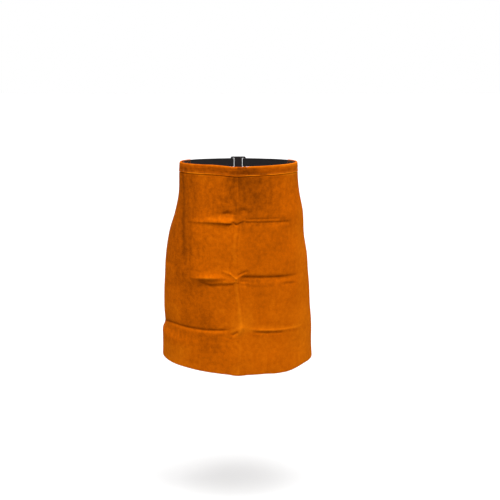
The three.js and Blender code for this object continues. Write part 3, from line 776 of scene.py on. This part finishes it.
def panel_drops(across):
    """Drops of the panel's rows: they crowd at the cross creases and the seam, and follow those creases and
    the hem's cut, straight between one and the next."""
    fine = np.linspace(0, PANEL_LENGTH, ROW_SAMPLES)
    middles = [crease_line(crease, 0) for crease in CREASES]
    places = [(middle, ROW_CROWDING["crease"]) for middle in middles]
    places.append((SEAM_SWELL["drop"], ROW_CROWDING["seam"]))
    crowded = sum(ridge(fine - place, spread, spread) for place, spread in places)
    count = np.cumsum(1 + ROW_CROWDING["more"] * crowded)
    level = np.interp(np.linspace(count[0], count[-1], PANEL_ROWS), count, fine)
    knots = [0, *middles, PANEL_LENGTH]
    lines = [crease_line(crease, across) - middle for crease, middle in zip(CREASES, middles)]
    shifts = [0 * across, *lines, -hem_rise(across)]
    hats = [np.interp(level, knots, np.eye(len(knots))[knot]) for knot in range(len(knots))]
    return level + sum(shift[:, None] * hat for shift, hat in zip(shifts, hats))


def make_panel(material):
    """The panel: its outer face, a rounded hem and its inner face, in one ring at each column."""
    across = columns_across()
    face = panel_drops(across)
    face[:, -1] -= HALF_WALL
    turn = np.radians(HEM_TURNS)
    drop = np.concatenate([face, face[:, -1:] + HALF_WALL * np.sin(turn), face[:, ::-1]], axis=1)
    wall = np.full(face.shape[1], HALF_WALL)
    offset = np.concatenate([wall, HALF_WALL * np.cos(turn), -wall])
    offset = offset * (1 - SIDE_THINNING * cut_sides(across))
    hem = np.concatenate([0 * wall, np.ones(len(turn)), 0 * wall])
    # painted light and shade with rubbed wear, weaker on the inner face, and paler cut edges
    tone = panel_tone(across[:, None], drop) * np.where(offset < 0, INSIDE_SHARE, 1)
    tone = tone + CUT_EDGE_TONE * np.maximum(hem, cut_sides(across))
    return leather_wall("apron_panel_leather", across, drop, offset, tone, material)


def make_waistband(material):
    """The waistband: an arch over the panel's top edge, one ring at each column: up the hidden face, back
    along the face that shows, with one more point on each cut lower edge."""
    across = columns_across()
    side = np.linspace(BAND_EDGE, 0, BAND_ROWS)
    turn = np.linspace(0, np.pi, BEND_STEPS + 1)[1:-1]
    faces = []
    for reach in (FOLD_INSIDE, FOLD_OUTSIDE):
        drop = np.concatenate([side, -reach * np.sin(turn), side[::-1]])
        puffed = reach + through_rows(BAND_PUFF, "out", side)
        offset = np.concatenate([puffed, reach * np.cos(turn), 0 * side - reach])
        faces.append(np.stack([drop, offset]))
    hidden, shown = faces
    bulge = HALF_WALL / 2  # of a cut lower edge, in its middle
    edge_out, edge_in = ((hidden[:, end] + shown[:, end]) / 2 + [bulge, 0] for end in (0, -1))
    ring = np.concatenate([edge_out[:, None], hidden, edge_in[:, None], shown[:, ::-1]], axis=1)
    drop, offset = (np.repeat(row[None], len(across), axis=0) for row in ring)
    edge = (drop > BAND_EDGE + bulge / 2).astype(float)
    # painted light and shade on the band's front, and paler cut edges
    tone = sum(patch_tone(patch, across[:, None], drop) for patch in BAND_TONES) * (offset > 0)
    tone = tone + CUT_EDGE_TONE * np.maximum(edge, cut_sides(across))
    return leather_wall("waistband_leather", across, drop, offset, tone, material)


def strap_place(across, out):
    """Places beside the waist, seen from above: on the middle of the strap's run, moved out from it."""
    level = np.zeros(1)
    return (section(level, across)[:, 0] + (out - STRAP_INSET) * outward(level, across)[:, 0]).T


def bar_edge(side):
    """Where a strap's run ends, across: half the buckle's length before the middle of the back."""
    return half_section(np.zeros(1), side)[2][0, -1] - BUCKLE_LENGTH / 2


def fold_back_clear(along):
    """How far the fold-back stands out from the run, by the length along it from the buckle's bar."""
    wide = 2 * BAR_CLEAR
    close = STRAP_THICK + 2 * GAP
    return wide + (close - wide) * smooth(0, STRAP_FOLD_BACK / 2, along)


def strap_line(side, sign):
    """The middle line of one strap, seen from above: inside the waistband, round the back, in a half circle
    round the buckle's bar, and back along itself."""
    end = bar_edge(side)
    start = HALF_WIDTH - STRAP_OVERLAP
    run = strap_place(sign * np.linspace(start, end, round((end - start) / STRAP_STEP)), 0)
    depth = strap_place(np.array([bar_edge("right")]), 0)[0, 1] + BAR_CLEAR
    turn = np.linspace(0, np.pi, BEND_STEPS)
    bar = BUCKLE_LENGTH / 2 - BUCKLE_BAR
    bend = np.stack([sign * (bar - BAR_CLEAR * np.sin(turn)), depth - BAR_CLEAR * np.cos(turn)], axis=-1)
    along = np.linspace(0, STRAP_FOLD_BACK, round(STRAP_FOLD_BACK / STRAP_STEP))
    return np.concatenate([run, bend, strap_place(sign * (end - along), fold_back_clear(along))])


def make_strap(side, sign, material):
    """One webbing strap: a ribbed oblong with rounded selvedges carried along the strap's line."""
    line = strap_line(side, sign)
    along = np.gradient(line, axis=0)
    along /= np.hypot(*along.T)[:, None]
    normal = np.stack([along[:, 1], -along[:, 0]], axis=-1)
    length = np.concatenate([[0], np.cumsum(np.hypot(*np.diff(line, axis=0).T))])
    height = np.linspace(-1, 1, STRAP_ROWS) * (STRAP_WIDTH / 2 - SELVEDGE)
    rib = STRAP_RIB["depth"] * (0.5 - 0.5 * np.cos(2 * np.pi * height / STRAP_RIB["pitch"]))
    half = STRAP_THICK / 2 - rib
    ring_out = np.concatenate([half[::-1], [0], -half, [0]])
    ring_up = np.concatenate([height[::-1], [-STRAP_WIDTH / 2], height, [STRAP_WIDTH / 2]])
    plan = line[:, None] + ring_out[:, None] * normal[:, None]
    points = np.concatenate([plan, np.broadcast_to(ring_up[:, None], (*plan.shape[:2], 1))], axis=-1)
    piece = new_piece("webbing_strap_" + side, points.reshape(-1, 3), ring_faces(*plan.shape[:2]), material)
    woven = np.stack(np.broadcast_arrays(length[:, None], ring_up, ring_out), axis=-1)
    note(piece, "woven", woven.reshape(-1, 3))
    return piece


# Stitches

def stitch_ends(lines):
    """The two ends of every stitch on straight lines on the flat leather, spread evenly along each."""
    ends = []
    for across_from, across_to, drop_from, drop_to in lines:
        start = np.array([across_from, drop_from])
        run = np.array([across_to, drop_to]) - start
        count = round(np.hypot(*run) / (STITCH["length"] + STITCH["gap"]))
        middle = start + np.outer((np.arange(count) + 0.5) / count, run)
        half = run / np.hypot(*run) * STITCH["length"] / 2
        ends.append(np.stack([middle - half, middle + half], axis=1))
    return np.concatenate(ends)


def sew(name, lines, place, material):
    """Stitches as one mesh: each is an arched spine whose ends go into the leather, with a round section that
    narrows at both ends. "place" gives points from places across, drops and heights above the surface."""
    share = np.array(STITCH_SPINE["along"])
    height = STITCH["lift"] * np.array(STITCH_SPINE["lift"])
    radius = STITCH["radius"] * np.array(STITCH_SPINE["radius"])
    ends = stitch_ends(lines)
    flat = ends[:, :1] + (ends[:, 1:] - ends[:, :1]) * share[:, None]
    across, drop = flat.reshape(-1, 2).T
    above = np.tile(height, len(ends))
    spine = place(across, drop, above).reshape(-1, len(share), 3)
    nearby = 0.001
    up = place(across, drop, above + nearby).reshape(-1, len(share), 3) - spine
    up /= np.linalg.norm(up, axis=-1, keepdims=True)
    beside = np.cross(np.gradient(spine, axis=1), up)
    beside /= np.linalg.norm(beside, axis=-1, keepdims=True)
    turn = np.linspace(0, 2 * np.pi, STITCH_SIDES, endpoint=False)[:, None]
    ring = np.cos(turn) * up[:, :, None] + np.sin(turn) * beside[:, :, None]
    points = spine[:, :, None] + radius[:, None, None] * ring
    faces = ring_faces(len(share), STITCH_SIDES)
    every = faces + (len(share) * STITCH_SIDES * np.arange(len(ends)))[:, None, None]
    return new_piece(name, points.reshape(-1, 3), every.reshape(-1, 4), material)


def on_band_outside(across, drop, above):
    """Points above the waistband's outside."""
    offset = FOLD_OUTSIDE + through_rows(BAND_PUFF, "out", drop) + above
    return on_leather(across, drop[:, None], offset[:, None])[:, 0]


def on_band_inside(across, drop, above):
    """Points above the waistband's inside."""
    return on_leather(across, drop[:, None], (-FOLD_OUTSIDE - above)[:, None])[:, 0]


def on_strap_inside(across, drop, above):
    """Points above the face of the strap that lies towards the waist."""
    return np.column_stack([strap_place(across, -STRAP_THICK / 2 - above), PANEL_TOP - drop])


def on_fold_back(across, drop, above):
    """Points above the outside of a strap's fold-back."""
    end = np.where(across < 0, bar_edge("left"), bar_edge("right"))
    out = fold_back_clear(end - np.abs(across)) + STRAP_THICK / 2 + above
    return np.column_stack([strap_place(across, out), PANEL_TOP - drop])


def crossed_box(left, right, top, bottom):
    """Seam lines of a box with a cross in it."""
    return [
        (left, right, top, top), (left, right, bottom, bottom), (left, left, top, bottom),
        (right, right, top, bottom), (left, right, top, bottom), (left, right, bottom, top),
    ]


def tack(side, sign, along):
    """Seam line of a tack up a strap's fold-back, as far below the strap's middle as above it."""
    across = sign * (bar_edge(side) - along)
    return across, across, 0, 2 * PANEL_TOP


def fit_to_frame(piece, node):
    """A finished piece rides on the one body and stands for its solid, which is hidden."""
    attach(piece, "root")
    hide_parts(node)


panel_leather = split_cowhide(
    "dyed_split_cowhide", dark="#7E3800", middle="#BF5900", light="#E07608", streak_mm=(9, 24), streaks=0.22
)
band_leather = split_cowhide(
    "dyed_split_cowhide_folded", dark="#763300", middle="#B95400", light="#E07608",
    streak_mm=(36, 4), streaks=0.34
)
panel = make_panel(panel_leather)
fit_to_frame(panel, "apron_panel")
waistband = make_waistband(band_leather)
fit_to_frame(waistband, "waistband")
webbing = woven_webbing()
for strap_side, strap_sign in SIDES:
    strap = make_strap(strap_side, strap_sign, webbing)
    fit_to_frame(strap, "waist_strap_" + strap_side)
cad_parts["buckle"].data.materials[0] = moulded_acetal()

seam_end = HALF_WIDTH - SEAM_MARGIN
box_start = HALF_WIDTH - STRAP_OVERLAP + SEAM_MARGIN
boxes = crossed_box(box_start, seam_end, 0, SEAM_DROP) + crossed_box(-seam_end, -box_start, 0, SEAM_DROP)
long_seam = [(-box_start, box_start, SEAM_DROP, SEAM_DROP)]
tacks = [tack(side, sign, along) for side, sign in SIDES for along in BAR_TACKS]
golden_thread = aramid_thread("twisted_aramid_thread", "#9A4C08", "#CE7416")
black_thread = aramid_thread("twisted_aramid_thread_black", "#0C0C0D", "#2E2E32")
seams = (
    sew("band_seam_outside", boxes + long_seam, on_band_outside, golden_thread),
    sew("band_seam_inside", long_seam, on_band_inside, golden_thread),
    sew("strap_seam_inside", boxes, on_strap_inside, golden_thread),
    sew("fold_back_tacks", tacks, on_fold_back, black_thread),
)
for seam in seams:
    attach(seam, "root")


# Studio: floor, light and camera

FLOOR_BELOW_WAIST = 1.02
FLOOR_WIDTH = 80
# White surroundings: light from below and above, blended between two heights, and as the camera sees them
SURROUNDINGS = {"below": 0.22, "above": 0.5, "blend": (-0.2, 0.2), "seen": 1}
SOFTBOXES = (
    # name, watts on a square metre, degrees off overhead, degrees round from the front to the right
    ("softbox_left", 1.4, 25, -50),
    ("softbox_front", 2, 25, 0),
    ("softbox_right", 2.1, 25, 50),
    ("softbox_rear", 0.8, 40, 180),
)
SOFTBOX_SPREAD = 35
CAMERA = {"place": (0.036, -3.200, 0.3073), "pitch": 9.92, "lens": 78.26, "sensor": 36}


def make_floor():
    """A wide pale floor, as far below the waist as the ground is."""
    half = FLOOR_WIDTH / 2
    corners = ((-half, -half), (half, -half), (half, half), (-half, half))
    points = [(x, y, -FLOOR_BELOW_WAIST) for x, y in corners]
    material, tree, shader = new_material("matt_white_floor")
    place = add(tree, "TexCoord", out="Object")
    faint = add(tree, "TexNoise", {"Vector": place, "Scale": 3})
    colour = add(tree, "ValToRGB", {"Fac": faint}, [(0, "#C4C4C4"), (1, "#C8C8C8")])
    set_inputs(tree, shader, {"Base Color": colour, "Roughness": 1})
    floor = new_piece("floor", points, np.array([[0, 1, 2, 3]]), material)
    floor.visible_diffuse = False  # no light from below, as over a dark studio floor


def make_light():
    """White surroundings, which light more from above than from below, and broad soft lights from above."""
    world = bpy.data.worlds.new("white_studio")
    bpy.context.scene.world = world
    world.use_nodes = True
    tree = world.node_tree
    white = (1, 1, 1, 1)
    direction = add(tree, "TexCoord", out="Generated")
    height = add(tree, "SeparateXYZ", {0: direction}, out="Z")
    low, high = SURROUNDINGS["blend"]
    strength = add(tree, "MapRange", {
        "Value": height, "From Min": low, "From Max": high,
        "To Min": SURROUNDINGS["below"], "To Max": SURROUNDINGS["above"],
    })
    lighting = tree.nodes["Background"]
    set_inputs(tree, lighting, {"Color": white, "Strength": strength})
    shown = add(tree, "Background", {"Color": white, "Strength": SURROUNDINGS["seen"]})
    seen = add(tree, "LightPath", out="Is Camera Ray")
    both = add(tree, "MixShader", {0: seen, 1: lighting.outputs[0], 2: shown})
    set_inputs(tree, tree.nodes["World Output"], {"Surface": both})
    for name, energy, tilt, turn in SOFTBOXES:
        lamp = bpy.data.lights.new(name, "SUN")
        lamp.energy = energy
        lamp.angle = math.radians(SOFTBOX_SPREAD)
        light = bpy.data.objects.new(name, lamp)
        light.rotation_euler = (math.radians(tilt), 0, math.radians(turn))
        bpy.context.scene.collection.objects.link(light)


def make_camera():
    """The photograph's view: level across, looking a little down from in front."""
    lens = bpy.data.cameras.new("camera")
    lens.lens = CAMERA["lens"]
    lens.sensor_width = CAMERA["sensor"]
    camera = bpy.data.objects.new("camera", lens)
    camera.location = CAMERA["place"]
    camera.rotation_euler = (math.radians(90 - CAMERA["pitch"]), 0, 0)
    bpy.context.scene.collection.objects.link(camera)
    bpy.context.scene.camera = camera


make_floor()
make_light()
make_camera()
bpy.context.scene.view_settings.view_transform = "Standard"
